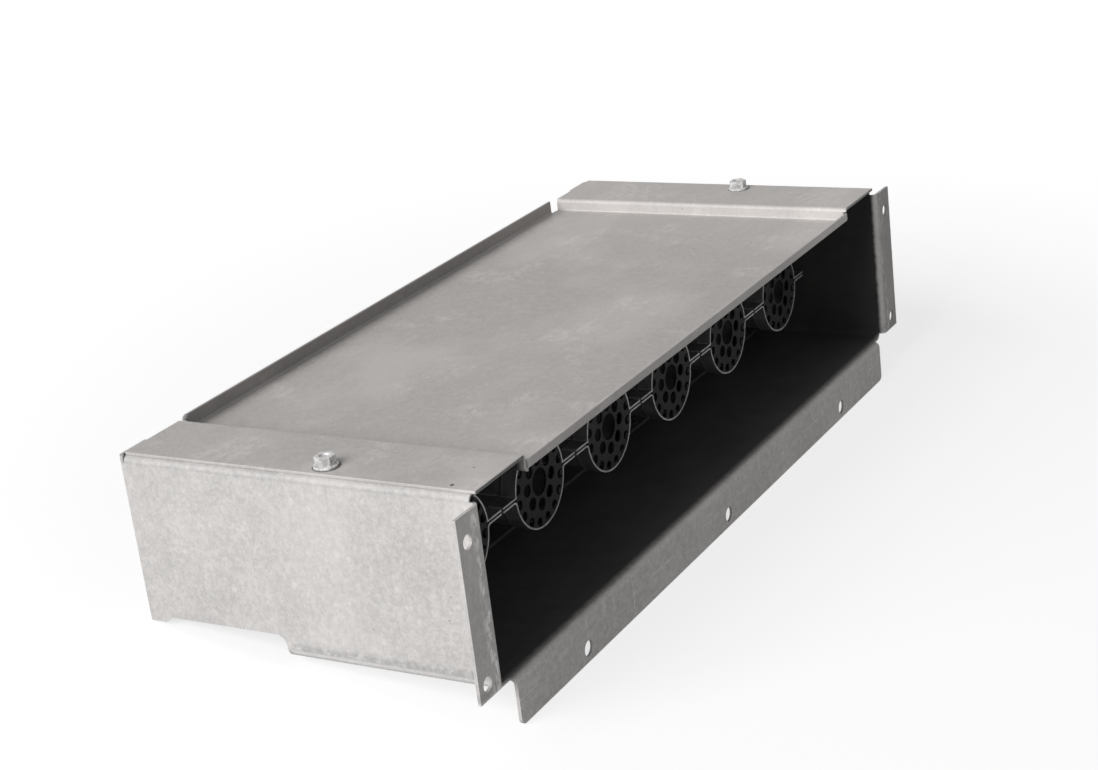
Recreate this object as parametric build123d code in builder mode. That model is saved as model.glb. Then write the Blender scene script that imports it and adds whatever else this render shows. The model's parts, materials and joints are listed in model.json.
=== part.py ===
from build123d import *
import os

os.makedirs("parts", exist_ok=True)

# An in-shot gas burner box: six clamshell burners in a bent sheet housing with a screwed-on cover.
# X runs along the box, Y from its open front to the rear, Z up. The origin is the centre of the
# four side flange holes, on the face that bolts up.

# Housing: one sheet bent into a floor, two sides and their flanges
length = 425.0  # over the outer faces of the two sides
depth = 181.0  # front flange face to rear flange face
side_height = 86.0  # underside of the floor to the top of the sides
shell_t = 1.5
bend_r = 1.5  # inside radius of the flange bends
floor_bend_r = 3.5  # inside radius of the bends between floor and sides
floor_depth = 106.0
rear_side_rise = 10.8  # underside of the floor to the lower edge of the sides behind it
rear_notch_r = 5.0  # corner where that edge turns down to the floor
relief = 1.0  # gap cut beside the bends at the upper front corners
corner_slit = 0.5  # the same at the lower front and upper rear corners
bend_run = 0.2  # flat sheet kept past a bend at such a gap

side_flange_width = 16.8
side_flange_bottom = 3.2  # above the underside of the floor
side_flange_drop = 3.4  # top of the flange below the top of the side
side_hole_d = 6.4
side_hole_inset = 10.4  # outward from the side's outer face
side_hole_low = 9.8  # above the underside of the floor
side_hole_edge = 11.2  # upper hole below the top of the flange

drop_flange = 20.3  # floor flange below the underside of the floor
drop_flange_inset = 10.5  # from the side's outer face
drop_corner_r = 3.0
drop_hole_d = 7.4
drop_hole_pitch = 143.5
drop_hole_edge = 6.0  # hole centre above the flange's lower edge

top_flange_width = 19.0
rear_flange_width = 19.0
rear_foot = 8.2  # lower end of the rear flange above the underside of the floor
rear_foot_width = 10.0
rear_foot_slope = 4.0

# Cover: a shallow tray between two raised end strips
cover_t = 1.2
cover_bend_r = 0.8
cover_end_gap = 2.0  # side's outer face to the end of the cover
cover_front = 1.5
strip_rear_gap = 3.5  # rear flange face to the rear end of the strips
cover_step = 6.6  # drop from the strips to the tray
strip_width = 38.6
lip_height = 4.9  # over the sheet, at the front of the tray
lip_setback_left = 1.2  # joggle face to the end of the lip
lip_overlap_right = 1.6  # end of the lip past the joggle face
lip_notch = 0.4  # gap behind and beyond that end
lip_corner_r = 1.5  # upper corner of the left end
tray_rear_gap = 0.9  # rear flange face to the rear lip
rear_lip_setback = 5.0

# Hex washer-head screws
cover_screw_inset = 9.8  # from the side's outer face
cover_screw_y = 77.8
screw_shank_d = 4.8
screw_washer_d = 10.7
screw_washer_t = 1.1
screw_hex = 7.9
screw_head_h = 4.8
screw_reach = 12.7  # shank below the head
screw_dish_d = 4.6
screw_dish_depth = 0.5
small_shank_d = 3.9
small_washer_d = 8.4
small_hex = 6.3
small_head_h = 3.6
small_reach = 9.5
thread_clearance = 0.05  # shank to the hole it is driven into, each side
pass_clearance = 0.4  # shank to a clearance hole, each side

# Burners
burner_count = 6
burner_end_room = 12.7  # side's outer face to the room taken by the end burner
burner_mouth_y = 41.4
burner_rear_gap = 15.6  # burner inlets to the rear flange face
burner_t = 0.8
collar_d = 43.0
collar_depth = 6.5
collar_step = 1.0  # collar over the head behind it, on the radius
head_length = 54.0
throat_d = 23.0
throat_length = 8.0
inlet_d = 32.0
inlet_length = 16.0
crossover_slot = 0.96
wing_corner_r = 1.6
wing_break = 1.8  # between neighbouring wings
pad_length = 62.0  # full-width part of the seam flange
seam_width = 5.0
tongue_width = 6.0
tongue_overrun = 0.5

# Flame inserts
insert_t = 1.0
insert_recess = 0.3
insert_clearance = 0.05
insert_bore_d = 12.7
outer_port_count = 16
outer_port_d = 4.6
outer_port_edge = 2.0  # centre to the insert's rim, so each port is open there
inner_port_count = 8
inner_port_share = 0.6  # hole over the width between the bore and the outer holes
inner_port_place = 0.44  # its centre, as a share of that width out from the bore

# Burner support on the floor, and the rail across the rear flanges
support_y = 88.0
support_foot = 12.0
support_top = 14.0
saddle_clearance = 0.3
support_end_gap = 1.0  # from the flat of the floor
rivet_shank_d = 4.0
rivet_head_d = 8.0
rivet_head_t = 1.2
rivet_tail_d = 5.6
rivet_tail_t = 1.6
rivet_inset = 34.0

rail_bottom = 15.0  # above the underside of the floor
rail_drop = 19.0  # top of the rail below the top of the sides
rail_lip = 8.0
rail_end_gap = 0.6
orifice_hole_d = 12.0
slot_clearance = 0.2
rail_screw_inset = 12.5
rail_screw_low = 12.0  # above the rail's lower edge
rail_screw_high = 10.0  # below its upper edge

# Worked-out places
side_flange_top = side_height - side_flange_drop
side_hole_pitch = side_flange_top - side_hole_edge - side_hole_low
base_z = -(side_hole_low + side_hole_pitch / 2)
lowest_z = base_z - drop_flange
side_x = -length / 2
floor_top = base_z + shell_t
side_top = base_z + side_height
bend_out = bend_r + shell_t
floor_bend_out = floor_bend_r + shell_t
strip_top = side_top + cover_t
tray_top = strip_top - cover_step
tray_bottom = tray_top - cover_t
joggle_x = length / 2 - cover_end_gap - strip_width
strip_rear = depth - strip_rear_gap
tray_rear = depth - tray_rear_gap
axis_z = 0.0  # the burners lie level with the middle of the side flange holes
burner_pitch = (length - 2 * burner_end_room) / burner_count
burner_length = depth - burner_rear_gap - burner_mouth_y
throat_at = burner_length - inlet_length - throat_length
collar_r = collar_d / 2
head_r = collar_r - collar_step
insert_r = collar_r - burner_t - insert_clearance
outer_port_r = insert_r - outer_port_edge
insert_web = outer_port_r - outer_port_d / 2 - insert_bore_d / 2
inner_port_r = insert_bore_d / 2 + inner_port_place * insert_web
inner_port_d = inner_port_share * insert_web
wing_reach = (burner_pitch - wing_break) / 2
burner_screw_x = (head_r + wing_reach) / 2
rail_rear = depth - shell_t
rail_top = side_height - rail_drop
rail_screw_z = base_z + (rail_bottom + rail_screw_low + rail_top - rail_screw_high) / 2
rail_screw_pitch = rail_top - rail_screw_high - rail_bottom - rail_screw_low
tongue_x = inlet_d / 2 + seam_width - tongue_width / 2
burner_xs = [(i - (burner_count - 1) / 2) * burner_pitch for i in range(burner_count)]


def angle(leg_a, leg_b, thickness, inside_r):
    """L-shaped sheet section: outer corner at the origin, legs along local X and Y."""
    with BuildSketch() as section:
        with BuildLine():
            Polyline(
                (0, 0),
                (leg_a, 0),
                (leg_a, thickness),
                (thickness, thickness),
                (thickness, leg_b),
                (0, leg_b),
                close=True,
            )
        make_face()
        corners = section.vertices().sort_by_distance((0, 0, 0))
        fillet(corners[0], inside_r + thickness)
        inner = section.vertices().sort_by_distance((thickness, thickness, 0))[0]
        fillet(inner, inside_r)
    return section.sketch


def hex_screw(shank_d, washer_d, hex_af, head_h, reach):
    """Hex washer-head screw pointing down, the seat of its head at the origin."""
    tip = shank_d / 2
    with BuildPart() as screw:
        with BuildSketch():
            Circle(washer_d / 2)
        extrude(amount=screw_washer_t)
        chamfer(screw.faces().sort_by(Axis.Z)[-1].edges(), screw_washer_t / 3)
        with BuildSketch(Plane.XY.offset(screw_washer_t)):
            RegularPolygon(hex_af / 2, 6, major_radius=False)
        extrude(amount=head_h - screw_washer_t)
        with BuildSketch(Plane.XY.offset(head_h)):
            Circle(screw_dish_d / 2)
        extrude(amount=-screw_dish_depth, taper=30, mode=Mode.SUBTRACT)
        with BuildSketch():
            Circle(shank_d / 2)
        extrude(amount=-(reach - tip))
        with BuildSketch(Plane.XY.offset(-(reach - tip))):
            Circle(shank_d / 2)
        extrude(amount=-tip, taper=35)
    return screw.part


def blind_rivet(grip):
    """Blind rivet pointing down, the seat of its head at the origin."""
    with BuildPart() as rivet:
        with BuildSketch(Plane.XZ):
            with BuildLine():
                Polyline(
                    (0, rivet_head_t),
                    (rivet_head_d / 4, rivet_head_t),
                    (rivet_head_d / 2, rivet_head_t / 3),
                    (rivet_head_d / 2, 0),
                    (rivet_shank_d / 2, 0),
                    (rivet_shank_d / 2, -grip),
                    (rivet_tail_d / 2, -grip),
                    (rivet_tail_d / 2, -grip - rivet_tail_t / 2),
                    (rivet_shank_d / 2, -grip - rivet_tail_t),
                    (0, -grip - rivet_tail_t),
                    close=True,
                )
            make_face()
        revolve(axis=Axis.Z)
    return rivet.part


# The left half of the housing is made and mirrored
with BuildPart() as housing_shell:
    # floor and side, one bend at the bottom
    floor_start = bend_out + corner_slit
    with BuildSketch(Plane(origin=(side_x, floor_start, base_z), x_dir=(1, 0, 0), z_dir=(0, -1, 0))):
        add(angle(length / 2, side_height - bend_out, shell_t, floor_bend_r))
    extrude(amount=-(floor_depth - floor_start))
    # side behind the floor, with the foot at its rear corner
    with BuildSketch(Plane(origin=(side_x, 0, 0), x_dir=(0, 1, 0), z_dir=(1, 0, 0))) as side:
        with BuildLine():
            Polyline(
                (bend_out, base_z + floor_bend_out),
                (floor_depth, base_z + floor_bend_out),
                (floor_depth, base_z + rear_side_rise),
                (depth - rear_foot_width - rear_foot_slope, base_z + rear_side_rise),
                (depth - rear_foot_width, base_z + rear_foot),
                (depth - bend_out, base_z + rear_foot),
                (depth - bend_out, side_top - bend_out),
                (bend_out, side_top - bend_out),
                close=True,
            )
        make_face()
        notch = (floor_depth, base_z + rear_side_rise, 0)
        fillet(side.vertices().sort_by_distance(notch)[0], rear_notch_r)
    extrude(amount=shell_t)
    # flange along the top, turned inward under the cover
    with BuildSketch(Plane(origin=(side_x, bend_out + relief, side_top), x_dir=(1, 0, 0), z_dir=(0, 1, 0))):
        add(angle(top_flange_width, bend_out + shell_t, shell_t, bend_r))
    extrude(amount=depth - 2 * bend_out - relief - corner_slit)
    # front flange, turned outward, cut free of the floor at its foot
    for bottom, top, leg in (
        (side_flange_bottom, floor_bend_out, bend_out + bend_run),
        (floor_bend_out, side_height - bend_out, bend_out + shell_t),
    ):
        with BuildSketch(Plane(origin=(side_x + shell_t, 0, base_z + bottom), x_dir=(-1, 0, 0),
                               z_dir=(0, 0, -1))):
            add(angle(side_flange_width + shell_t, leg, shell_t, bend_r))
        extrude(amount=-(top - bottom))
    with BuildSketch(Plane.XZ):
        with Locations((side_x - side_flange_width, base_z + side_flange_bottom)):
            Rectangle(
                side_flange_width - bend_out,
                side_flange_top - side_flange_bottom,
                align=(Align.MIN, Align.MIN),
            )
    extrude(amount=-shell_t)
    with BuildSketch(Plane.XZ):
        with Locations((side_x - side_hole_inset, base_z + side_hole_low + side_hole_pitch / 2)):
            with GridLocations(0, side_hole_pitch, 1, 2):
                Circle(side_hole_d / 2)
    extrude(amount=-shell_t, mode=Mode.SUBTRACT)
    # rear flange, turned inward behind the cover, cut free of the top flange at its head
    for bottom, top, leg in (
        (rear_foot, side_height - bend_out, bend_out + shell_t),
        (side_height - bend_out, side_height, bend_out + bend_run),
    ):
        with BuildSketch(Plane(origin=(side_x, depth, base_z + bottom), x_dir=(1, 0, 0), z_dir=(0, 0, -1))):
            add(angle(rear_flange_width, leg, shell_t, bend_r))
        extrude(amount=-(top - bottom))
    # floor flange, turned down
    with BuildSketch(Plane(origin=(side_x + drop_flange_inset, 0, floor_top), x_dir=(0, 1, 0),
                           z_dir=(-1, 0, 0))):
        add(angle(bend_out + shell_t, floor_top - lowest_z, shell_t, bend_r))
    extrude(amount=-(length / 2 - drop_flange_inset))
    drop_corner = (side_x + drop_flange_inset, 0, lowest_z)
    fillet(
        housing_shell.edges().filter_by(Axis.Y).sort_by_distance(drop_corner)[0],
        drop_corner_r,
    )
    mirror(about=Plane.YZ)
    with BuildSketch(Plane.XZ):
        with Locations((0, lowest_z + drop_hole_edge)):
            with GridLocations(drop_hole_pitch, 0, 3, 1):
                Circle(drop_hole_d / 2)
    extrude(amount=-shell_t, mode=Mode.SUBTRACT)
    # holes for the cover screws, the rail screws and the support rivets
    with BuildSketch(Plane.XY.offset(side_top)):
        with Locations((0, cover_screw_y)):
            with GridLocations(length - 2 * cover_screw_inset, 0, 2, 1):
                Circle(screw_shank_d / 2 + thread_clearance)
    extrude(amount=-shell_t, mode=Mode.SUBTRACT)
    with BuildSketch(Plane.XZ.offset(-depth)):
        with Locations((0, rail_screw_z)):
            with GridLocations(length - 2 * rail_screw_inset, rail_screw_pitch, 2, 2):
                Circle(screw_shank_d / 2 + pass_clearance)
    extrude(amount=shell_t, mode=Mode.SUBTRACT)
    with BuildSketch(Plane.XY.offset(base_z)):
        with Locations((0, support_y - support_foot / 2)):
            with GridLocations((length - 2 * rivet_inset) / 3, 0, 4, 1):
                Circle(rivet_shank_d / 2 + thread_clearance)
    extrude(amount=shell_t, mode=Mode.SUBTRACT)

with BuildPart() as top_cover:
    cover_out = cover_bend_r + cover_t
    # raised strip and the joggle down to the tray
    with BuildSketch(Plane.XZ.offset(-cover_front)) as joggle:
        with BuildLine():
            Polyline(
                (-length / 2 + cover_end_gap, side_top),
                (-joggle_x - cover_t, side_top),
                (-joggle_x - cover_t, tray_bottom),
                (-joggle_x + lip_setback_left, tray_bottom),
                (-joggle_x + lip_setback_left, tray_top),
                (-joggle_x, tray_top),
                (-joggle_x, strip_top),
                (-length / 2 + cover_end_gap, strip_top),
                close=True,
            )
        make_face()
        for corner, radius in (
            ((-joggle_x - cover_t, side_top), cover_bend_r),
            ((-joggle_x, strip_top), cover_out),
            ((-joggle_x - cover_t, tray_bottom), cover_out),
            ((-joggle_x, tray_top), cover_bend_r),
        ):
            fillet(joggle.vertices().sort_by_distance((*corner, 0))[0], radius)
    extrude(amount=-(strip_rear - cover_front))
    mirror(about=Plane.YZ)
    # tray floor between the joggles
    with BuildSketch(Plane.XY.offset(tray_bottom)):
        with Locations((0, cover_front + cover_out)):
            Rectangle(
                2 * (joggle_x - lip_setback_left),
                tray_rear - cover_front - 2 * cover_out,
                align=(Align.CENTER, Align.MIN),
            )
    extrude(amount=cover_t)
    # front lip, its right end lapping the joggle
    with BuildSketch(Plane.XY.offset(strip_top - cover_out)):
        with Locations((joggle_x - lip_setback_left, cover_front)):
            Rectangle(
                lip_setback_left + lip_overlap_right + lip_notch,
                cover_t + lip_notch,
                align=(Align.MIN, Align.MIN),
            )
    extrude(amount=-(strip_top - cover_out - tray_bottom), mode=Mode.SUBTRACT)
    lip_left = -joggle_x + lip_setback_left
    lip_right = joggle_x + lip_overlap_right
    with BuildSketch(Plane(origin=(lip_left, cover_front, tray_bottom), x_dir=(0, 1, 0), z_dir=(1, 0, 0))):
        add(angle(cover_out + cover_t, lip_height, cover_t, cover_bend_r))
    extrude(amount=lip_right - lip_left)
    lip_corner = (lip_left, cover_front, tray_bottom + lip_height)
    fillet(top_cover.edges().filter_by(Axis.Y).sort_by_distance(lip_corner)[0], lip_corner_r)
    # rear lip, as high as the strips
    rear_lip_half = joggle_x - rear_lip_setback
    with BuildSketch(Plane(origin=(rear_lip_half, tray_rear, tray_bottom), x_dir=(0, -1, 0), z_dir=(-1, 0, 0))):
        add(angle(cover_out + cover_t, strip_top - tray_bottom, cover_t, cover_bend_r))
    extrude(amount=2 * rear_lip_half)
    with BuildSketch(Plane.XY.offset(strip_top)):
        with Locations((0, cover_screw_y)):
            with GridLocations(length - 2 * cover_screw_inset, 0, 2, 1):
                Circle(screw_shank_d / 2 + pass_clearance)
    extrude(amount=-cover_t, mode=Mode.SUBTRACT)

with BuildPart() as cover_screws:
    with Locations((0, cover_screw_y, strip_top)):
        with GridLocations(length - 2 * cover_screw_inset, 0, 2, 1):
            add(hex_screw(screw_shank_d, screw_washer_d, screw_hex, screw_head_h, screw_reach))

with BuildPart() as rail_screws:
    with Locations(Location((0, depth, rail_screw_z), (-90, 0, 0))):
        with GridLocations(length - 2 * rail_screw_inset, rail_screw_pitch, 2, 2):
            add(hex_screw(screw_shank_d, screw_washer_d, screw_hex, screw_head_h, screw_reach))

with BuildPart() as burner_screws:
    screw_seat = axis_z + burner_t
    for x in burner_xs:
        with Locations((x + burner_screw_x, support_y + support_top / 2, screw_seat)):
            add(hex_screw(small_shank_d, small_washer_d, small_hex, small_head_h, small_reach))

with BuildPart() as support_rivets:
    with Locations((0, support_y - support_foot / 2, floor_top + shell_t)):
        with GridLocations((length - 2 * rivet_inset) / 3, 0, 4, 1):
            add(blind_rivet(2 * shell_t))


def half_shell(corner_r, hole_side, tongues):
    """Upper half of a burner: mouth at Y 0, axis at Z 0, seam on the XY plane."""
    slot = crossover_slot / 2
    wall = [
        (collar_r, collar_depth),
        (collar_r, collar_depth + burner_t),
        (head_r, collar_depth + burner_t),
        (head_r, head_length),
        (throat_d / 2, throat_at),
        (throat_d / 2, throat_at + throat_length),
        (inlet_d / 2, burner_length),
    ]
    bore = [
        (inlet_d / 2 - burner_t, burner_length),
        (throat_d / 2 - burner_t, throat_at + throat_length),
        (throat_d / 2 - burner_t, throat_at),
        (head_r - burner_t, head_length),
        (head_r - burner_t, collar_depth),
    ]
    outline = [
        (0, collar_depth),
        (wing_reach, collar_depth),
        (wing_reach, pad_length),
        (throat_d / 2 + seam_width, throat_at),
        (throat_d / 2 + seam_width, throat_at + throat_length),
        (inlet_d / 2 + seam_width, burner_length),
        (0, burner_length),
    ]
    with BuildPart() as half:
        # collar and raised crossover wings
        with BuildSketch(Plane.XZ) as front:
            Circle(collar_r)
            with Locations((0, slot)):
                Rectangle(2 * wing_reach, burner_t, align=(Align.CENTER, Align.MIN))
            Circle(collar_r - burner_t, mode=Mode.SUBTRACT)
            with Locations((0, slot)):
                Rectangle(
                    3 * wing_reach,
                    2 * collar_r,
                    align=(Align.CENTER, Align.MAX),
                    mode=Mode.SUBTRACT,
                )
            if corner_r > 0:
                for side in (-1, 1):
                    outer = (side * collar_r, slot + burner_t, 0)
                    fillet(front.vertices().sort_by_distance(outer)[0], corner_r)
                    inner = (side * (collar_r - burner_t), slot, 0)
                    fillet(front.vertices().sort_by_distance(inner)[0], corner_r + burner_t)
        extrude(amount=-collar_depth)
        # head, throat and inlet
        with BuildSketch(Plane.XY):
            with BuildLine():
                Polyline(*wall, *bore, close=True)
            make_face()
        revolve(axis=Axis((0, 0, 0), (0, -1, 0)), revolution_arc=180)
        # seam flange, and the step where the wings close on it
        for top, far_end in ((burner_t, burner_length), (slot + burner_t, collar_depth + burner_t)):
            with BuildSketch(Plane.XY):
                with BuildLine():
                    Polyline(*outline, close=True)
                make_face()
                with BuildLine():
                    Polyline((0, burner_length), *bore, (0, collar_depth), close=True)
                make_face(mode=Mode.SUBTRACT)
                mirror(about=Plane.YZ)
                with Locations((0, far_end)):
                    Rectangle(
                        3 * wing_reach,
                        2 * burner_length,
                        align=(Align.CENTER, Align.MIN),
                        mode=Mode.SUBTRACT,
                    )
            extrude(amount=top)
        if tongues:
            with BuildSketch(Plane.XY):
                with Locations((0, burner_length)):
                    with GridLocations(2 * tongue_x, 0, 2, 1):
                        Rectangle(
                            tongue_width,
                            rail_rear + tongue_overrun - burner_mouth_y - burner_length,
                            align=(Align.CENTER, Align.MIN),
                        )
            extrude(amount=burner_t)
        with BuildSketch(Plane.XY):
            with Locations((hole_side * burner_screw_x, support_y + support_top / 2 - burner_mouth_y)):
                Circle(small_shank_d / 2 + pass_clearance)
        extrude(amount=burner_t, mode=Mode.SUBTRACT)
    return half.part


def flame_insert():
    """Perforated cup in the collar: mouth at Y 0, axis on Z 0."""
    with BuildPart() as insert:
        with BuildSketch(Plane.XZ.offset(-insert_recess)):
            Circle(insert_r)
        extrude(amount=-(collar_depth - insert_recess))
        with BuildSketch(Plane.XZ.offset(-(insert_recess + insert_t))):
            Circle(insert_r - burner_t)
        extrude(amount=-collar_depth, mode=Mode.SUBTRACT)
        with BuildSketch(Plane.XZ.offset(-insert_recess)):
            Circle(insert_bore_d / 2)
            with PolarLocations(inner_port_r, inner_port_count):
                Circle(inner_port_d / 2)
            with PolarLocations(outer_port_r, outer_port_count, start_angle=180 / outer_port_count):
                Circle(outer_port_d / 2)
        extrude(amount=-insert_t, mode=Mode.SUBTRACT)
    return insert.part


with BuildPart() as front_support:
    support_half = length / 2 - floor_bend_out - support_end_gap
    pad_underside = axis_z - burner_t
    with BuildSketch(Plane(origin=(-support_half, support_y + shell_t, floor_top), x_dir=(0, -1, 0),
                           z_dir=(-1, 0, 0))):
        add(angle(support_foot + shell_t, pad_underside - floor_top - bend_out, shell_t, bend_r))
    extrude(amount=-2 * support_half)
    with BuildSketch(Plane(origin=(-support_half, support_y, pad_underside), x_dir=(0, 1, 0),
                           z_dir=(-1, 0, 0))):
        add(angle(support_top, bend_out + shell_t, shell_t, bend_r))
    extrude(amount=-2 * support_half)
    with BuildSketch(Plane.XZ.offset(-(support_y - shell_t))):
        with Locations((0, axis_z)):
            with GridLocations(burner_pitch, 0, burner_count, 1):
                Circle(head_r + saddle_clearance)
    extrude(amount=-(support_top + 2 * shell_t), mode=Mode.SUBTRACT)
    with BuildSketch(Plane.XY.offset(pad_underside)):
        with Locations((burner_screw_x, support_y + support_top / 2)):
            with GridLocations(burner_pitch, 0, burner_count, 1):
                Circle(small_shank_d / 2 + thread_clearance)
    extrude(amount=-shell_t, mode=Mode.SUBTRACT)
    with BuildSketch(Plane.XY.offset(floor_top)):
        with Locations((0, support_y - support_foot / 2)):
            with GridLocations((length - 2 * rivet_inset) / 3, 0, 4, 1):
                Circle(rivet_shank_d / 2 + thread_clearance)
    extrude(amount=shell_t, mode=Mode.SUBTRACT)

with BuildPart() as rear_rail:
    rail_half = length / 2 - bend_out - rail_end_gap
    with BuildSketch(Plane(origin=(-rail_half, rail_rear, base_z + rail_bottom), x_dir=(0, -1, 0),
                           z_dir=(-1, 0, 0))):
        add(angle(rail_lip, (rail_top - rail_bottom) / 2, shell_t, bend_r))
    extrude(amount=-2 * rail_half)
    with BuildSketch(Plane(origin=(-rail_half, rail_rear, base_z + rail_top), x_dir=(0, -1, 0),
                           z_dir=(1, 0, 0))):
        add(angle(rail_lip, (rail_top - rail_bottom) / 2, shell_t, bend_r))
    extrude(amount=2 * rail_half)
    with BuildSketch(Plane.XZ.offset(-rail_rear)):
        with Locations((0, axis_z)):
            with GridLocations(burner_pitch, 0, burner_count, 1):
                Circle(orifice_hole_d / 2)
        for x in burner_xs:
            with Locations((x, axis_z - burner_t / 2)):
                with GridLocations(2 * tongue_x, 0, 2, 1):
                    Rectangle(tongue_width + 2 * slot_clearance, burner_t + 2 * slot_clearance)
        with Locations((0, rail_screw_z)):
            with GridLocations(length - 2 * rail_screw_inset, rail_screw_pitch, 2, 2):
                Circle(screw_shank_d / 2 + thread_clearance)
    extrude(amount=shell_t, mode=Mode.SUBTRACT)

nodes = {
    "housing_shell": housing_shell.part,
    "top_cover": top_cover.part,
    "cover_screws": cover_screws.part,
    "rail_screws": rail_screws.part,
    "burner_screws": burner_screws.part,
    "support_rivets": support_rivets.part,
    "front_support": front_support.part,
    "rear_rail": rear_rail.part,
}

upper_half = half_shell(0, 1, False)
lower_half = half_shell(wing_corner_r, -1, True)
insert_cup = flame_insert()
for number, x in enumerate(burner_xs, start=1):
    mouth = Location((x, burner_mouth_y, axis_z))
    turned = Location((x, burner_mouth_y, axis_z), (0, 180, 0))
    nodes[f"burner_{number}_upper_shell"] = upper_half.moved(mouth)
    nodes[f"burner_{number}_lower_shell"] = lower_half.moved(turned)
    nodes[f"burner_{number}_flame_insert"] = insert_cup.moved(mouth)

for name, piece in nodes.items():
    piece.label = name
    export_step(piece, f"parts/{name}.step")
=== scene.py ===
import json
import math

import bmesh
import bpy
import numpy as np
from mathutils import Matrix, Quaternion, Vector


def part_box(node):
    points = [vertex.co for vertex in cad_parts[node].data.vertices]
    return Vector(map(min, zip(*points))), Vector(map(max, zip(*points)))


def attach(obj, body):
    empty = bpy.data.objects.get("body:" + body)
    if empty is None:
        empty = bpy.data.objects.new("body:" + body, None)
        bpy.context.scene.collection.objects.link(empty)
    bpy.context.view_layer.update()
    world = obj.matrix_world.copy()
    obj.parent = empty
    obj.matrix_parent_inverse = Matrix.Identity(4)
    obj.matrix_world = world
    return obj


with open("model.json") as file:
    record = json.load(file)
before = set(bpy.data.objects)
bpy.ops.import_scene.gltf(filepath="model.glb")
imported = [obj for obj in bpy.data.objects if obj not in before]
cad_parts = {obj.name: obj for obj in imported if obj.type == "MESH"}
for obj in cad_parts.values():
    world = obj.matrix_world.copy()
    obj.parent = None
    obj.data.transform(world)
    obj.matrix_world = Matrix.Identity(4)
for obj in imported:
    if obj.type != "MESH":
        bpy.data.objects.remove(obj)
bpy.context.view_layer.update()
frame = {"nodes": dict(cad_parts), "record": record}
scene = bpy.context.scene
nodes_of = frame["nodes"]

# ---------------------------------------------------------------- camera
CAMERA_AT = (-0.85007, -0.43140, 0.36480)
CAMERA_TURN = 58.379  # degrees from +Y towards +X
CAMERA_TILT = -19.842
CAMERA_ROLL = -7.101
CAMERA_LENS = 70.66  # mm, on a 36 mm sensor

turn, tilt = math.radians(CAMERA_TURN), math.radians(CAMERA_TILT)
look = Vector((math.sin(turn) * math.cos(tilt), math.cos(turn) * math.cos(tilt), math.sin(tilt)))
roll = Quaternion((0, 0, 1), math.radians(CAMERA_ROLL))
camera = bpy.data.objects.new("camera", bpy.data.cameras.new("camera"))
scene.collection.objects.link(camera)
camera.location = CAMERA_AT
camera.rotation_mode = "QUATERNION"
camera.rotation_quaternion = look.to_track_quat("-Z", "Y") @ roll
camera.data.lens = CAMERA_LENS
camera.data.sensor_width = 36
camera.data.clip_start = 0.01
camera.data.clip_end = 20
scene.camera = camera

# ---------------------------------------------------------------- places, in metres
SHEET = 0.0015  # the housing's
COVER_SHEET = 0.0012
SIDE_FLANGE = 0.0168  # how far a side flange stands out
FLANGE_BEND = 0.003  # outer radius of the flange bends
FLOOR_BEND = 0.005  # outer radius of the bends between floor and sides
FLOOR_UP = 0.0203  # underside of the floor, above the foot of the floor flange
REAR_FOOT_UP = 0.0082  # rear feet, above the underside of the floor
FLOOR_END = 0.105  # rear edge of the floor
STRIP_WIDTH = 0.0386  # raised strip at each end of the cover
FLANGE_SCRATCHES = ((-0.1430, -0.0505), (-0.1005, -0.0600))  # X, and the Z that each runs down to
STRIP_NICKS = ((-0.2070, 0.0144, 0.0011), (-0.1891, 0.0152, 0.0005))  # X, Y and radius
SHADE_STARTS, SHADE_FULL = 0.0012, 0.0036  # where the painted shade inside starts and is full, behind the housing's mouth

housing_low, housing_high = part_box("housing_shell")
cover_low, cover_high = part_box("top_cover")
screw_low, screw_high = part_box("cover_screws")
rail_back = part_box("rear_rail")[1][1]
mouth_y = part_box("burner_1_upper_shell")[0][1]
insert_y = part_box("burner_1_flame_insert")[0][1]

side_x = housing_high[0] - SIDE_FLANGE  # outer face of a side
side_top = housing_high[2]
floor_z = housing_low[2] + FLOOR_UP
rear_foot_z = floor_z + REAR_FOOT_UP
tray_x = cover_high[0] - STRIP_WIDTH  # end of the cover's tray
washer_r = (screw_high[1] - screw_low[1]) / 2
screw_x = screw_high[0] - washer_r
screw_y = (screw_low[1] + screw_high[1]) / 2


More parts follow.
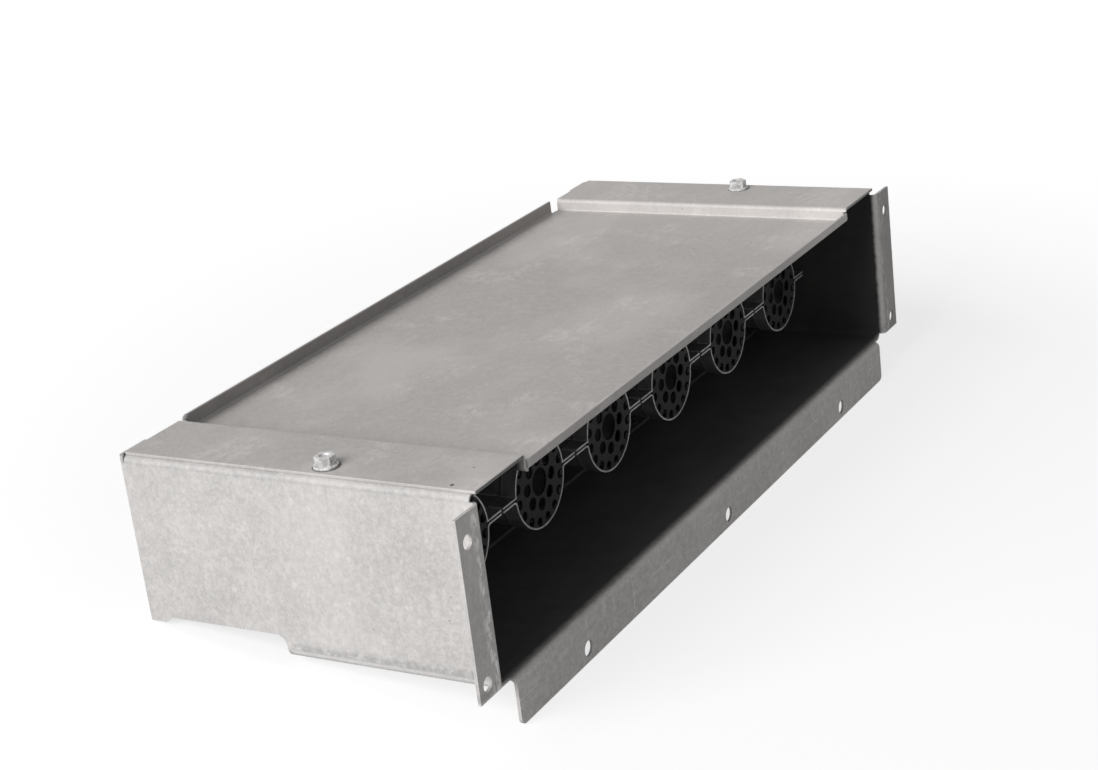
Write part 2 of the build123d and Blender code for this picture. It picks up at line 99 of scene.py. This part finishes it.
# ---------------------------------------------------------------- node helpers
class Nodes:
    """A material's node tree, with short calls for the nodes used here."""

    def __init__(self, name):
        self.material = bpy.data.materials.new(name)
        self.material.use_nodes = True
        self.tree = self.material.node_tree
        self.shader = self.tree.nodes["Principled BSDF"]
        self.place = self.tree.nodes.new("ShaderNodeTexCoord").outputs["Object"]

    def axis(self, letter):
        node = self.tree.nodes.new("ShaderNodeSeparateXYZ")
        self.plug(self.place, node.inputs[0])
        return node.outputs[letter]

    x = property(lambda self: self.axis("X"))
    y = property(lambda self: self.axis("Y"))
    z = property(lambda self: self.axis("Z"))

    def plug(self, value, socket):
        if isinstance(value, bpy.types.NodeSocket):
            self.tree.links.new(value, socket)
        else:
            socket.default_value = value

    def math(self, kind, a, b=0.0):
        node = self.tree.nodes.new("ShaderNodeMath")
        node.operation = kind
        self.plug(a, node.inputs[0])
        self.plug(b, node.inputs[1])
        return node.outputs[0]

    def add(self, a, b):
        return self.math("ADD", a, b)

    def minus(self, a, b):
        return self.math("SUBTRACT", a, b)

    def product(self, first, *others):
        for other in others:
            first = self.math("MULTIPLY", first, other)
        return first

    def absolute(self, value):
        return self.math("ABSOLUTE", value)

    def at_least_0(self, value):
        return self.math("MAXIMUM", value, 0.0)

    def below(self, value, limit):
        return self.math("LESS_THAN", value, limit)

    def above(self, value, limit):
        return self.math("GREATER_THAN", value, limit)

    def length(self, a, b):
        return self.math("SQRT", self.add(self.product(a, a), self.product(b, b)))

    def fade(self, factor, a, b):
        """The number a at factor 0 and b at factor 1."""
        far = self.product(factor, b)
        near = self.product(self.minus(1.0, factor), a)
        return self.add(near, far)

    def span(self, value, low, high, to_low=0.0, to_high=1.0):
        """value from low..high carried to to_low..to_high, held at both ends."""
        node = self.tree.nodes.new("ShaderNodeMapRange")
        node.interpolation_type = "SMOOTHSTEP"
        self.plug(value, node.inputs["Value"])
        node.inputs["From Min"].default_value = low
        node.inputs["From Max"].default_value = high
        node.inputs["To Min"].default_value = to_low
        node.inputs["To Max"].default_value = to_high
        return node.outputs[0]

    def between(self, value, starts, full, fades, ends):
        """1 where value is from full to fades, 0 before starts and after ends."""
        return self.product(self.span(value, starts, full), self.span(value, ends, fades))

    def mix(self, factor, a, b):
        """The colour a at factor 0 and b at factor 1."""
        node = self.tree.nodes.new("ShaderNodeMix")
        node.data_type = "RGBA"
        self.plug(factor, node.inputs["Factor"])
        self.plug(a, node.inputs["A"])
        self.plug(b, node.inputs["B"])
        return node.outputs["Result"]

    def paint(self, colour, new, where, strength):
        """The colour, with the new one laid over it."""
        return self.mix(self.product(where, strength), colour, new)

    def stretch(self, scale):
        """The object's coordinates, scaled: a pattern is longer along an axis with a small scale."""
        node = self.tree.nodes.new("ShaderNodeMapping")
        self.plug(self.place, node.inputs["Vector"])
        node.inputs["Scale"].default_value = scale
        return node.outputs[0]

    def noise(self, scale, detail=4.0, rough=0.5, place=None):
        node = self.tree.nodes.new("ShaderNodeTexNoise")
        self.plug(place or self.place, node.inputs["Vector"])
        node.inputs["Scale"].default_value = scale
        node.inputs["Detail"].default_value = detail
        node.inputs["Roughness"].default_value = rough
        return node.outputs["Fac"]

    def wander(self, reach, scale, detail=4.0, rough=0.5):
        """Noise from about minus to plus half the reach."""
        return self.product(self.minus(self.noise(scale, detail, rough), 0.5), reach)

    def cells(self, scale):
        """Distance from the nearest of many scattered points."""
        node = self.tree.nodes.new("ShaderNodeTexVoronoi")
        self.plug(self.place, node.inputs["Vector"])
        node.inputs["Scale"].default_value = scale
        return node.outputs["Distance"]

    def bump(self, height, strength, distance, normal=None):
        node = self.tree.nodes.new("ShaderNodeBump")
        self.plug(height, node.inputs["Height"])
        node.inputs["Strength"].default_value = strength
        node.inputs["Distance"].default_value = distance
        if normal:
            self.plug(normal, node.inputs["Normal"])
        return node.outputs[0]

    def rounded(self, radius):
        """Normals rounded over sharp edges."""
        node = self.tree.nodes.new("ShaderNodeBevel")
        node.samples = 6
        node.inputs["Radius"].default_value = radius
        return node.outputs[0]

    def edge(self, radius):
        """1 along sharp edges, 0 on the flats."""
        geometry = self.tree.nodes.new("ShaderNodeNewGeometry")
        dot = self.tree.nodes.new("ShaderNodeVectorMath")
        dot.operation = "DOT_PRODUCT"
        self.plug(self.rounded(radius), dot.inputs[0])
        self.plug(geometry.outputs["Normal"], dot.inputs[1])
        return self.span(dot.outputs["Value"], 0.995, 0.86)

    def shaded(self, **sockets):
        """The material, with these values plugged into its shader's sockets."""
        for name, value in sockets.items():
            self.plug(value, self.shader.inputs[name.replace("_", " ")])
        return self.material


def grey(level, warm=0.0):
    return (level * (1 + 1.6 * warm), level, level * (1 - warm), 1.0)


def times(colour, factor):
    return tuple(v * factor for v in colour[:3]) + (1.0,)


BLACK, WHITE = grey(0.0), grey(1.0)


# ---------------------------------------------------------------- where shade is painted inside
def housing_shade(n):
    """1 where shade is painted: on the faces that look into the box, fading in over the first millimetres
    behind its mouth.
    """
    low = n.below(n.z, 0.0)
    radius = n.fade(low, FLANGE_BEND, FLOOR_BEND)
    x = n.minus(n.absolute(n.x), n.minus(side_x, radius))
    over = n.minus(n.z, side_top - FLANGE_BEND)
    under = n.minus(floor_z + FLOOR_BEND, n.z)
    z = n.at_least_0(n.math("MAXIMUM", over, under))
    x = n.at_least_0(x)
    inward = n.below(n.length(x, z), n.minus(radius, SHEET / 2))
    y = n.add(n.y, n.wander(0.0016, 300.0, 4.0, 0.6))
    floor = n.span(n.z, floor_z + FLOOR_BEND, floor_z + SHEET)
    y = n.fade(floor, y, n.add(n.product(y, 0.42), 0.0008))  # a wider fade on the floor
    # painted shade fades in behind the mouth
    shade_depth = n.span(y, SHADE_STARTS, SHADE_FULL)
    ahead = n.below(n.y, housing_high[1] - SHEET / 2)
    return n.product(inward, shade_depth, ahead)


def cover_shade(n):
    """1 where shade is painted, on the underside of the cover: tray and strips lie at two levels."""
    x = n.absolute(n.x)
    strip = n.above(x, tray_x + COVER_SHEET / 2)
    under_strip = n.below(n.z, cover_high[2] - COVER_SHEET / 2)
    under_tray = n.below(n.z, cover_low[2] + COVER_SHEET / 2)
    under = n.fade(strip, under_tray, under_strip)
    within = n.below(x, cover_high[0] - 0.0003)
    # painted shade fades in behind the cover's front edge
    shade_depth = n.span(n.y, cover_low[1] + 0.0012, cover_low[1] + 0.004)
    return n.product(under, shade_depth, within)


def bracket_shade(n):
    """1 where shade is painted: on all but the rear face of what crosses the box."""
    return n.below(n.y, rail_back - SHEET / 2)


# ---------------------------------------------------------------- marks on the housing
def fold_grime_shade_and_highlight(n, colour):
    """A ragged, patchy grey band over the fold at the foot of the sides, partly grime and partly painted
    shade of the bend, and a painted highlight: a pale line below it, along the fold.
    """
    outside = n.above(n.absolute(n.x), side_x - FLOOR_BEND)
    on_floor = n.product(n.span(n.y, FLOOR_END, FLOOR_END - 0.003), outside)
    ragged_z = n.add(n.z, n.wander(0.0075, 210.0, 5.0, 0.7))
    # partly grime and partly painted shade: the ragged grey band over the fold
    grime_and_shade_band = n.product(n.span(n.z, floor_z + 0.0040, floor_z + 0.0050),
                     n.span(ragged_z, floor_z + 0.0096, floor_z + 0.0062))
    patchy = n.span(n.noise(330.0, 5.0, 0.7), 0.34, 0.60)
    colour = n.paint(colour, grey(0.30, 0.01), where=n.product(grime_and_shade_band, patchy, on_floor), strength=0.62)
    # painted highlight: a pale line along the fold
    fold_highlight = n.between(n.z, floor_z + 0.0006, floor_z + 0.0014, floor_z + 0.0036, floor_z + 0.0044)
    return n.paint(colour, grey(0.95, 0.01), where=n.product(fold_highlight, on_floor), strength=0.3)


def top_bend_lines_and_shade(n, colour):
    """Thin darker lines drawn along the bend at the top of the sides, also painted shade that dims the
    bend where the lamp lights it brightest.
    """
    outside = n.above(n.absolute(n.x), side_x - FLOOR_BEND)
    starts = side_top - FLANGE_BEND
    bend = n.product(n.span(n.z, starts - 0.0012, starts + 0.0004), outside)
    drawn = n.span(n.noise(420.0, 3.0, 0.6, n.stretch((1.0, 0.06, 1.0))), 0.36, 0.62, 0.80, 0.95)
    # painted shade along the top bend, drawn as fine lines
    return n.mix(n.product(bend, drawn), colour, n.mix(0.84, BLACK, colour))


def side_flange_wear_and_shade(n, colour):
    """Pale smears beside the bends of the side flanges, and painted shade that makes the far flange
    darker.
    """
    from_side = n.minus(n.absolute(n.x), side_x)
    bend = n.between(from_side, 0.0004, 0.0022, 0.0040, 0.0090)
    front = n.span(n.y, 0.0006, 0.0002)
    rubbed = n.span(n.noise(250.0, 6.0, 0.75, n.stretch((1.0, 1.0, 0.40))), 0.47, 0.58)
    colour = n.paint(colour, grey(0.95, 0.01), where=n.product(bend, front, rubbed), strength=0.90)
    # painted shade: the far flange darker than the near one
    far = n.product(n.span(n.x, side_x, side_x + 0.002), front)
    return n.paint(colour, grey(0.10, 0.02), where=far, strength=0.48)


def floor_flange_front(n):
    """1 on the front face of the turned-down flange."""
    return n.product(n.span(n.y, 0.0004, 0.0001), n.below(n.z, floor_z + SHEET))


def floor_flange_mottle(n, colour):
    """Pale and dark mottling on the turned-down flange."""
    front = floor_flange_front(n)
    mottled = n.noise(330.0, 6.0, 0.75, n.stretch((0.7, 1.0, 1.0)))
    pale = n.product(n.span(mottled, 0.50, 0.62), n.product(front, 0.30))
    colour = n.mix(pale, colour, grey(0.85, 0.01))
    dark = n.product(n.span(mottled, 0.46, 0.36), n.product(front, 0.28))
    return n.mix(dark, colour, grey(0.22, 0.01))


def floor_flange_scratches(n, colour):
    """Two thin upright scratches on the turned-down flange, and a rubbed line along it."""
    front = floor_flange_front(n)
    wander = n.wander(0.0016, 90.0, 2.0)
    x = n.add(n.x, wander)
    worn = n.span(n.noise(420.0, 2.0), 0.36, 0.52)
    for at, down_to in FLANGE_SCRATCHES:
        near = n.span(n.absolute(n.minus(x, at)), 0.00034, 0.00012)
        tall = n.span(n.z, down_to, down_to + 0.001)
        mark = n.product(near, tall, n.product(front, worn))
        colour = n.paint(colour, WHITE, where=mark, strength=0.6)
    along = n.absolute(n.minus(n.add(n.z, n.product(wander, 0.4)), floor_z - 0.009))
    broken = n.span(n.noise(70.0, 3.0, 0.5, n.stretch((0.5, 1.0, 6.0))), 0.50, 0.60)
    line = n.product(n.span(along, 0.0005, 0.0001), broken, front)
    return n.paint(colour, WHITE, where=line, strength=0.35)


# ---------------------------------------------------------------- marks on the cover
def cover_scuffs(n, colour):
    """Pale rubbed smudges scattered over the cover, finer than the cloudy patches of the zinc."""
    some = n.span(n.noise(26.0, 3.0, 0.55), 0.52, 0.66)
    torn = n.span(n.noise(260.0, 6.0, 0.75, n.stretch((0.6, 1.0, 1.0))), 0.42, 0.60)
    return n.paint(colour, grey(0.78, 0.03), where=n.product(some, torn), strength=0.30)


def rear_corner_shade(n, colour):
    """Painted shade, with a ragged edge, in the corner in front of the cover's rear lip."""
    inner = n.below(n.absolute(n.x), tray_x)
    ragged_y = n.add(n.y, n.wander(0.010, 420.0, 6.0, 0.7))
    # painted shade in the corner before the rear lip
    lip_corner_shade = n.span(ragged_y, cover_high[1] - 0.0165, cover_high[1] - 0.0015)
    front_of_lip = n.below(n.y, cover_high[1] - COVER_SHEET / 2)
    lip_corner_shade = n.product(n.product(lip_corner_shade, lip_corner_shade), inner, front_of_lip)
    return n.paint(colour, grey(0.05, 0.01), where=lip_corner_shade, strength=0.47)


def screw_painted_shadow(n, colour):
    """A painted contact shadow: a dark ring round the washer face of each cover screw, set a little
    towards the front.
    """
    across = n.minus(n.absolute(n.x), screw_x)
    along = n.minus(n.y, screw_y - 0.0004)
    # painted contact shadow round each washer
    shadow_ring = n.span(n.length(across, along), washer_r + 0.0013, washer_r + 0.0004)
    return n.paint(colour, grey(0.02), where=shadow_ring, strength=0.85)


def strip_nicks(n, colour):
    """Two dark nicks on the near strip."""
    for x, y, radius in STRIP_NICKS:
        across = n.product(n.minus(n.x, x), 0.8)
        along = n.minus(n.y, y)
        colour = n.mix(n.span(n.length(across, along), radius, radius * 0.5), colour, grey(0.04))
    return colour


def strip_fronts(n, colour):
    """The strips' dark front edges."""
    strip = n.above(n.absolute(n.x), tray_x + COVER_SHEET)
    front = n.span(n.y, cover_low[1] + 0.0006, cover_low[1] + 0.0001)
    return n.paint(colour, grey(0.04), where=n.product(strip, front), strength=0.85)


def paler_far_end(n, colour):
    """The cover turns a little paler towards its far end."""
    return n.paint(colour, grey(0.85, 0.03), where=n.span(n.x, 0.06, tray_x), strength=0.16)


# ---------------------------------------------------------------- materials
def galvanised(name, pale, dark, inside, shade_grey=0.03, marks=(), speckle=0.5, mottle=1.0, smudge=0.3):
    """Hot-dipped sheet: fine spangle, cloudy patches, specks, faint scratches, brighter cut edges.

    inside tells where shade is painted dark on the inner faces, and each of marks adds its own to the
    colour.
    """
    n = Nodes(name)
    spangle = n.add(n.cells(420.0), n.noise(900.0, 3.0, 0.6))
    blots = n.span(n.noise(310.0, 7.0, 0.78), 0.39, 0.62)
    cloud = n.noise(38.0, 5.0, 0.62)
    fine = n.noise(850.0, 6.0, 0.7)
    patch = n.noise(13.0, 3.0, 0.5, n.stretch((1.0, 1.6, 1.0)))
    tone = n.add(n.product(blots, 0.46 * mottle), n.product(n.span(fine, 0.34, 0.66), 0.36))
    tone = n.add(tone, n.product(n.span(cloud, 0.3, 0.7), 0.24))
    colour = n.mix(tone, dark, pale)
    colour = n.paint(colour, times(pale, 1.25), where=n.span(patch, 0.44, 0.74), strength=smudge)
    dots = n.product(n.span(n.cells(200.0), 0.34, 0.10), n.span(n.noise(75.0, 3.0), 0.46, 0.56))
    colour = n.paint(colour, times(pale, 1.3), where=dots, strength=0.26 * mottle)
    scratch = n.span(n.noise(60.0, 3.0, 0.5, n.stretch((14.0, 14.0, 0.7))), 0.66, 0.72)
    colour = n.paint(colour, times(dark, 0.80), where=scratch, strength=0.28)
    for mark in marks:
        colour = mark(n, colour)
    specks = n.product(n.span(n.cells(120.0), 0.055, 0.040), n.span(n.noise(29.0, 1.0), 0.565, 0.60))
    colour = n.paint(colour, grey(0.05), where=specks, strength=speckle)
    colour = n.paint(colour, grey(0.80, 0.01), where=n.edge(0.0006), strength=0.40)
    # painted shade: a near-black grey for the faces inside, which are only in shadow
    painted_inside_shade = n.mix(n.span(cloud, 0.3, 0.7), grey(shade_grey * 0.75, 0.01), grey(shade_grey * 1.25, 0.01))
    shade_mask = inside(n)
    relief = n.add(n.product(spangle, 0.4), n.product(fine, 0.6))
    return n.shaded(
        Base_Color=n.mix(shade_mask, colour, painted_inside_shade),
        Metallic=n.product(n.minus(1.0, shade_mask), 0.12),
        Specular_IOR_Level=0.35,
        Roughness=n.fade(shade_mask, n.span(cloud, 0.25, 0.75, 0.50, 0.66), 0.75),
        Normal=n.bump(relief, 0.12, 0.0002, n.rounded(0.0004)),
    )


def plated(name, pale, dark, metal):
    """Plated screw or rivet, rubbed bright on its edges."""
    n = Nodes(name)
    cloud = n.noise(380.0, 4.0, 0.6)
    colour = n.mix(n.span(cloud, 0.3, 0.7), dark, pale)
    return n.shaded(
        Base_Color=n.paint(colour, times(pale, 1.25), where=n.edge(0.0003), strength=0.5),
        Metallic=metal,
        Roughness=n.span(cloud, 0.2, 0.8, 0.30, 0.44),
        Normal=n.bump(cloud, 0.05, 0.0001, n.rounded(0.0002)),
    )


def burner_steel(name):
    """Aluminised steel, painted a dark grey as shade inside the box, with painted highlights along its
    edges, bare and brighter where the mouth was cut.
    """
    n = Nodes(name)
    cloud = n.noise(90.0, 5.0, 0.6)
    streak = n.noise(70.0, 4.0, 0.6, n.stretch((1.0, 0.35, 1.0)))
    # painted shade: this dark grey stands for the shade inside the box
    colour = n.mix(n.span(cloud, 0.3, 0.7), grey(0.075), grey(0.125))
    colour = n.paint(colour, grey(0.20, 0.02), where=n.span(streak, 0.52, 0.68), strength=0.5)
    # painted highlight: light grey along the edges
    colour = n.paint(colour, grey(0.55), where=n.edge(0.0008), strength=0.7)
    lip = n.span(n.y, mouth_y + 0.00012, mouth_y + 0.00004)
    cut = n.mix(n.span(n.noise(240.0, 3.0), 0.25, 0.75, 0.36, 0.66), BLACK, WHITE)
    return n.shaded(
        Base_Color=n.mix(lip, colour, cut),
        Metallic=n.product(lip, 0.2),
        Roughness=n.span(cloud, 0.2, 0.8, 0.45, 0.65),
        Normal=n.bump(n.noise(500.0, 4.0), 0.15, 0.0002),
    )


def insert_steel(name):
    """Dull stamped steel of the flame inserts, painted a near-black grey as shade deep in the box, and
    painted black shade behind their front face.
    """
    n = Nodes(name)
    cloud = n.noise(130.0, 5.0, 0.65)
    fine = n.noise(1500.0, 3.0, 0.7)
    tone = n.add(n.product(n.span(cloud, 0.3, 0.7), 0.6), n.product(fine, 0.4))
    # painted shade: a near-black grey for the shade deep in the box
    colour = n.mix(tone, grey(0.022, 0.01), grey(0.042, 0.01))
    # painted shade: black behind the front face, in the cups and holes
    shade_depth = n.span(n.y, insert_y + 0.0002, insert_y + 0.0009)
    return n.shaded(
        Base_Color=n.mix(shade_depth, colour, grey(0.003)),
        Specular_IOR_Level=0.15,
        Roughness=n.span(cloud, 0.2, 0.8, 0.6, 0.8),
        Normal=n.bump(fine, 0.2, 0.0001, n.rounded(0.0002)),
    )


def sealant(name):
    n = Nodes(name)
    grain = n.noise(900.0, 4.0, 0.6)
    return n.shaded(
        Base_Color=n.mix(n.span(grain, 0.3, 0.7), grey(0.16, 0.01), grey(0.50, 0.01)),
        Roughness=0.85,
        Normal=n.bump(grain, 0.4, 0.0003),
    )


HOUSING_MARKS = (fold_grime_shade_and_highlight, top_bend_lines_and_shade, side_flange_wear_and_shade, floor_flange_mottle, floor_flange_scratches)
COVER_MARKS = (cover_scuffs, rear_corner_shade, screw_painted_shadow, strip_nicks, strip_fronts, paler_far_end)
material_of_slot = {
    "galvanised_housing": galvanised(
        "galvanised_housing", pale=grey(0.61, 0.02), dark=grey(0.42, 0.02),
        inside=housing_shade, marks=HOUSING_MARKS
    ),
    "galvanised_cover": galvanised(
        "galvanised_cover", pale=grey(0.515, 0.03), dark=grey(0.385, 0.03),
        inside=cover_shade, shade_grey=0.06, marks=COVER_MARKS, speckle=0.7, mottle=0.8, smudge=0.4
    ),
    "galvanised_bracket": galvanised(
        "galvanised_bracket", pale=grey(0.56, 0.02), dark=grey(0.44, 0.02),
        inside=bracket_shade, shade_grey=0.035
    ),
    "zinc_screw": plated("zinc_screw", pale=grey(0.80, 0.01), dark=grey(0.38, 0.01), metal=0.08),
    "dulled_screw": plated("dulled_screw", pale=grey(0.030, 0.01), dark=grey(0.018, 0.01), metal=0.1),
    "rivet": plated("rivet", pale=grey(0.030, 0.01), dark=grey(0.018, 0.01), metal=0.1),
    "burner_steel": burner_steel("burner_steel"),
    "insert_steel": insert_steel("insert_steel"),
}
slot_of = {part["node"]: part["material_slot"] for part in frame["record"]["subparts"]}
for name, obj in nodes_of.items():
    material = material_of_slot[slot_of[name]]
    if not obj.material_slots:
        obj.data.materials.append(material)
    for material_slot in obj.material_slots:
        material_slot.material = material

# ---------------------------------------------------------------- extra piece
# A crumb of sealant left at the near end of the cover's rear lip.
CRUMB_RADII = (0.0019, 0.0013, 0.0014)
CRUMB_BUMPS = 16
lip_end = tray_x - 0.0050
crumb_at = Vector((-lip_end - 0.0004, cover_high[1] - 0.0009, cover_high[2] - 0.0012))

rng = np.random.default_rng(11)
pushes = [(Vector(rng.normal(size=3)).normalized(), rng.uniform(-0.22, 0.30)) for _ in range(CRUMB_BUMPS)]
crumb_mesh = bpy.data.meshes.new("sealant_crumb")
shape = bmesh.new()
bmesh.ops.create_icosphere(shape, subdivisions=4, radius=1.0)
for vert in shape.verts:
    out = vert.co.normalized()
    swell = 1.0 + sum(amount * max(0.0, out.dot(way)) ** 6 for way, amount in pushes)
    vert.co = crumb_at + Vector([part * radius for part, radius in zip(out, CRUMB_RADII)]) * swell
for face in shape.faces:
    face.smooth = True
shape.to_mesh(crumb_mesh)
shape.free()
crumb_mesh.materials.append(sealant("sealant"))
crumb = bpy.data.objects.new("sealant_crumb", crumb_mesh)
scene.collection.objects.link(crumb)
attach(crumb, "cover")

# ---------------------------------------------------------------- floor
# The box stands on its floor flange and its two rear feet, so the floor slopes against its level frame.
lean = math.atan2(rear_foot_z - housing_low[2], housing_high[1])
bpy.ops.mesh.primitive_plane_add(size=8, location=(0, 0, housing_low[2] - 0.0002))
ground = bpy.context.object
ground.name = "ground"
ground.rotation_euler = (lean, 0, 0)


def seen(tree):
    """1 for a ray from the camera, or one seen in a gloss or through a pane."""
    path = tree.nodes.new("ShaderNodeLightPath")
    found = path.outputs["Is Camera Ray"]
    for other in ("Is Glossy Ray", "Is Transmission Ray"):
        either = tree.nodes.new("ShaderNodeMath")
        either.operation = "MAXIMUM"
        tree.links.new(found, either.inputs[0])
        tree.links.new(path.outputs[other], either.inputs[1])
        found = either.outputs[0]
    return found


def held(tree, value, low, high, to_low, to_high):
    """value from low..high carried in a straight line to to_low..to_high, held at both ends."""
    node = tree.nodes.new("ShaderNodeMapRange")
    tree.links.new(value, node.inputs["Value"])
    node.inputs["From Min"].default_value = low
    node.inputs["From Max"].default_value = high
    node.inputs["To Min"].default_value = to_low
    node.inputs["To Max"].default_value = to_high
    return node.outputs[0]


# The ground looks white, but for the object's soft shadow, and throws a little light back up.
GROUND_GREY = 0.35
GLOW_NEAR, GLOW_FAR = 0.74, 1.0  # strength under the object, and out beyond its shadow
NEAR, FAR = 0.3, 1.1  # metres from the middle, where the one ends and the other begins
ground_material = bpy.data.materials.new("ground")
ground_material.use_nodes = True
plain = ground_material.node_tree
plain.nodes.remove(plain.nodes["Principled BSDF"])
matte = plain.nodes.new("ShaderNodeBsdfDiffuse")
matte.inputs["Color"].default_value = (GROUND_GREY, GROUND_GREY, GROUND_GREY, 1)
glow = plain.nodes.new("ShaderNodeEmission")
spot = plain.nodes.new("ShaderNodeTexCoord")
away = plain.nodes.new("ShaderNodeVectorMath")
away.operation = "LENGTH"
plain.links.new(spot.outputs["Object"], away.inputs[0])
brightness = held(plain, away.outputs["Value"], NEAR, FAR, GLOW_NEAR, GLOW_FAR)
plain.links.new(brightness, glow.inputs["Strength"])
both = plain.nodes.new("ShaderNodeAddShader")
plain.links.new(matte.outputs[0], both.inputs[0])
plain.links.new(glow.outputs[0], both.inputs[1])
choice = plain.nodes.new("ShaderNodeMixShader")
plain.links.new(seen(plain), choice.inputs[0])
plain.links.new(matte.outputs[0], choice.inputs[1])
plain.links.new(both.outputs[0], choice.inputs[2])
plain.links.new(choice.outputs[0], plain.nodes["Material Output"].inputs["Surface"])
ground.data.materials.append(ground_material)

# ---------------------------------------------------------------- world and lights
AMBIENT = 0.16  # what the white surroundings light the object with
world = bpy.data.worlds.new("studio")
scene.world = world
world.use_nodes = True
sky = world.node_tree
background = sky.nodes["Background"]
background.inputs["Color"].default_value = (1, 1, 1, 1)
sky.links.new(held(sky, seen(sky), 0.0, 1.0, AMBIENT, 1.0), background.inputs["Strength"])


def softbox(name, at, aim, size, power):
    lamp = bpy.data.lights.new(name, "AREA")
    lamp.shape = "RECTANGLE"
    lamp.size, lamp.size_y = size
    lamp.energy = power
    obj = bpy.data.objects.new(name, lamp)
    scene.collection.objects.link(obj)
    obj.location = at
    obj.rotation_mode = "QUATERNION"
    obj.rotation_quaternion = (Vector(aim) - Vector(at)).to_track_quat("-Z", "Y")


softbox("key_left", at=(-3.2, 0.8, 1.92), aim=(0, 0.09, 0), size=(2.56, 2.56), power=154)
softbox("fill_front", at=(-0.8, -1.0, 0.35), aim=(-0.2, 0, 0), size=(0.7, 0.6), power=1.5)

scene.view_settings.view_transform = "Standard"
